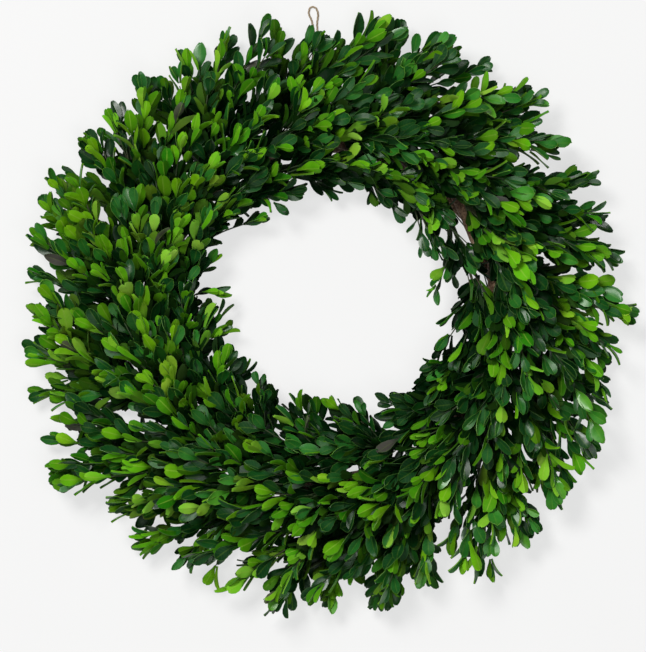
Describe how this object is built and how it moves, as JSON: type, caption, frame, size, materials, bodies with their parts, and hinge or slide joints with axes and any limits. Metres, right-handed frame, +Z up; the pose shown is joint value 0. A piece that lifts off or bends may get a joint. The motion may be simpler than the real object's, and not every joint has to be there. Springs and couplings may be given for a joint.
{
  "type": "boxwood wreath",
  "caption": "Round door wreath of boxwood twigs wired onto a twisted vine ring, open in the middle, with a twine loop at the top to hang it by.",
  "frame": {"origin": "on the table, under the middle of the wreath's box", "axes": "+Z up out of the front of the wreath, which lies on its back; +Y to its top, where the hanging loop is; +X to the right as seen from the front"},
  "size_m": [0.6028, 0.6017, 0.0968],
  "materials": {
    "vine": "rough brown bark",
    "wire": "green coated wire, satin",
    "twine": "rough twisted natural twine",
    "foliage": "glossy green leaves on thin stems"
  },
  "bodies": {
    "root": {"binding_wire": "wire", "face_bunch_01": "foliage", "face_bunch_02": "foliage", "face_bunch_03": "foliage", "face_bunch_04": "foliage", "face_bunch_05": "foliage", "face_bunch_06": "foliage", "face_bunch_07": "foliage", "face_bunch_08": "foliage", "face_bunch_09": "foliage", "face_bunch_10": "foliage", "face_bunch_11": "foliage", "face_bunch_12": "foliage", "face_bunch_13": "foliage", "face_bunch_14": "foliage", "face_bunch_15": "foliage", "inner_bunch_01": "foliage", "inner_bunch_02": "foliage", "inner_bunch_03": "foliage", "inner_bunch_04": "foliage", "inner_bunch_05": "foliage", "inner_bunch_06": "foliage", "inner_bunch_07": "foliage", "inner_bunch_08": "foliage", "inner_bunch_09": "foliage", "inner_bunch_10": "foliage", "inner_bunch_11": "foliage", "inner_bunch_12": "foliage", "inner_bunch_13": "foliage", "inner_bunch_14": "foliage", "inner_bunch_15": "foliage", "outer_bunch_01": "foliage", "outer_bunch_02": "foliage", "outer_bunch_03": "foliage", "outer_bunch_04": "foliage", "outer_bunch_05": "foliage", "outer_bunch_06": "foliage", "outer_bunch_07": "foliage", "outer_bunch_08": "foliage", "outer_bunch_09": "foliage", "outer_bunch_10": "foliage", "outer_bunch_11": "foliage", "outer_bunch_12": "foliage", "outer_bunch_13": "foliage", "outer_bunch_14": "foliage", "outer_bunch_15": "foliage", "twine_loop": "twine", "twine_tie": "twine", "vine_strand_1": "vine", "vine_strand_2": "vine", "vine_strand_3": "vine"}
  },
  "joints": []
}
